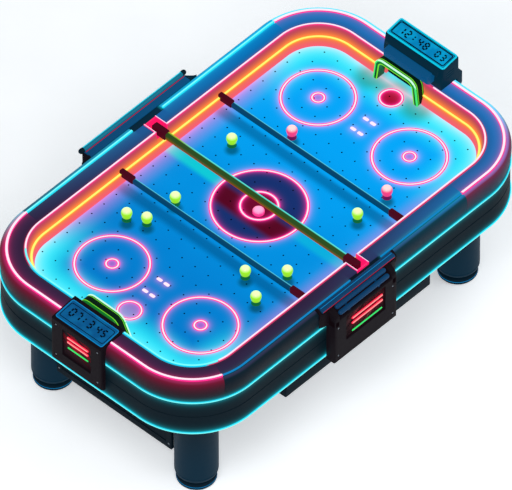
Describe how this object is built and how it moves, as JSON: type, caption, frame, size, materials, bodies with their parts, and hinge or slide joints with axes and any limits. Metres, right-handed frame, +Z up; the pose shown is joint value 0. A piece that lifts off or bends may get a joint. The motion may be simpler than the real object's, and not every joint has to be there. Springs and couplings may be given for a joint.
{
  "type": "air hockey table",
  "caption": "Rounded air hockey table with lit trim, goals, scoreboards, bars across the rink, a control console and a puck tray, on round legs.",
  "frame": {"origin": "on the floor under the middle of the table", "axes": "+X along the table towards the far scoreboard, +Y towards the side with the puck tray, +Z up"},
  "size_m": [2.176, 1.414, 0.9351],
  "materials": {
    "cabinet": "satin dark teal laminate",
    "leg": "satin dark teal laminate",
    "rail": "gloss dark blue",
    "console": "satin dark teal",
    "playfield": "gloss azure laminate",
    "rink_wall": "gloss, lit orange and pink",
    "pink_light": "lit pink diffuser",
    "cyan_light": "lit cyan diffuser",
    "amber_light": "lit yellow diffuser",
    "green": "lit green",
    "green_light": "lit lime green",
    "display": "lit blue display window",
    "bar": "satin olive",
    "cross_bar": "satin blue",
    "dark_plastic": "matte near-black",
    "rubber": "dark rubber",
    "metal": "satin"
  },
  "bodies": {
    "table": {"cabinet_shell": "cabinet", "base_panel": "cabinet", "playfield": "playfield", "rink_wall": "rink_wall", "rail_end_near": "rail", "rail_end_far": "rail", "rail_side_left": "rail", "rail_side_right": "rail", "bar_saddle_left": "pink_light", "bar_saddle_right": "pink_light", "end_led_near": "pink_light", "end_led_far": "pink_light", "side_led_left_near": "cyan_light", "side_led_left_far": "cyan_light", "side_led_right_near": "cyan_light", "side_led_right_far": "cyan_light", "upper_led": "cyan_light", "lower_led": "cyan_light", "wall_led_left": "amber_light", "wall_led_right": "amber_light", "goal_frame_near": "green", "goal_frame_far": "green", "goal_pocket_near": "dark_plastic", "goal_pocket_far": "dark_plastic", "scoreboard_near": "console", "scoreboard_far": "console", "display_near": "display", "display_far": "display", "console_housing": "console", "tray_housing": "console", "service_box": "cabinet", "end_apron_near": "cabinet", "end_apron_far": "cabinet", "blower_housing": "dark_plastic", "blower_motor": "metal", "cross_bar_near": "cross_bar", "cross_bar_far": "cross_bar", "leg_near_left": "leg", "leg_near_right": "leg", "leg_far_left": "leg", "leg_far_right": "leg", "green_peg_mid_left": "green_light", "green_peg_mid_right": "green_light", "green_peg_far_left": "green_light", "green_peg_far_right": "green_light", "pink_peg_left": "pink_light", "green_peg_pair_left": "green_light", "pink_peg_right": "pink_light", "green_peg_pair_right": "green_light"},
    "centre_bar": {"centre_bar": "bar"},
    "puck": {"puck": "pink_light"},
    "impeller": {"blower_impeller": "metal"},
    "console_hood": {"console_hood": "console"},
    "tray_lid": {"tray_lid": "console"},
    "push_bar_upper": {"push_bar_upper": "rail"},
    "push_bar_lower": {"push_bar_lower": "rail"},
    "foot_near_left": {"foot_near_left": "rubber"},
    "foot_near_right": {"foot_near_right": "rubber"},
    "foot_far_left": {"foot_far_left": "rubber"},
    "foot_far_right": {"foot_far_right": "rubber"}
  },
  "joints": [
    {"name": "centre_bar_lift", "type": "slide", "parent": "table", "child": "centre_bar", "axis": [0, 0, 1], "range_m": [0, 0.12]},
    {"name": "puck_glide", "type": "slide", "parent": "table", "child": "puck", "axis": [1, 0, 0], "range_m": [-0.8, 0.8]},
    {"name": "impeller_spin", "type": "hinge", "parent": "table", "child": "impeller", "pos_m": [0, 0, 0.41], "axis": [0, 0, 1], "continuous": true},
    {"name": "hood_hinge", "type": "hinge", "parent": "table", "child": "console_hood", "pos_m": [-0.086, -0.641, 0.802], "axis": [-1, 0, 0], "range_deg": [0, 95]},
    {"name": "lid_hinge", "type": "hinge", "parent": "table", "child": "tray_lid", "pos_m": [-0.015, 0.651, 0.796], "axis": [1, 0, 0], "range_deg": [0, 85]},
    {"name": "push_bar_upper_press", "type": "slide", "parent": "table", "child": "push_bar_upper", "axis": [0, 0, -1], "range_m": [0, 0.006], "stiffness_N_per_m": 3000, "springref_m": -0.002},
    {"name": "push_bar_lower_press", "type": "slide", "parent": "table", "child": "push_bar_lower", "axis": [0, 0, -1], "range_m": [0, 0.006], "stiffness_N_per_m": 3000, "springref_m": -0.002},
    {"name": "foot_near_left_screw", "type": "slide", "parent": "table", "child": "foot_near_left", "axis": [0, 0, -1], "range_m": [0, 0.02]},
    {"name": "foot_near_right_screw", "type": "slide", "parent": "table", "child": "foot_near_right", "axis": [0, 0, -1], "range_m": [0, 0.02]},
    {"name": "foot_far_left_screw", "type": "slide", "parent": "table", "child": "foot_far_left", "axis": [0, 0, -1], "range_m": [0, 0.02]},
    {"name": "foot_far_right_screw", "type": "slide", "parent": "table", "child": "foot_far_right", "axis": [0, 0, -1], "range_m": [0, 0.02]}
  ]
}
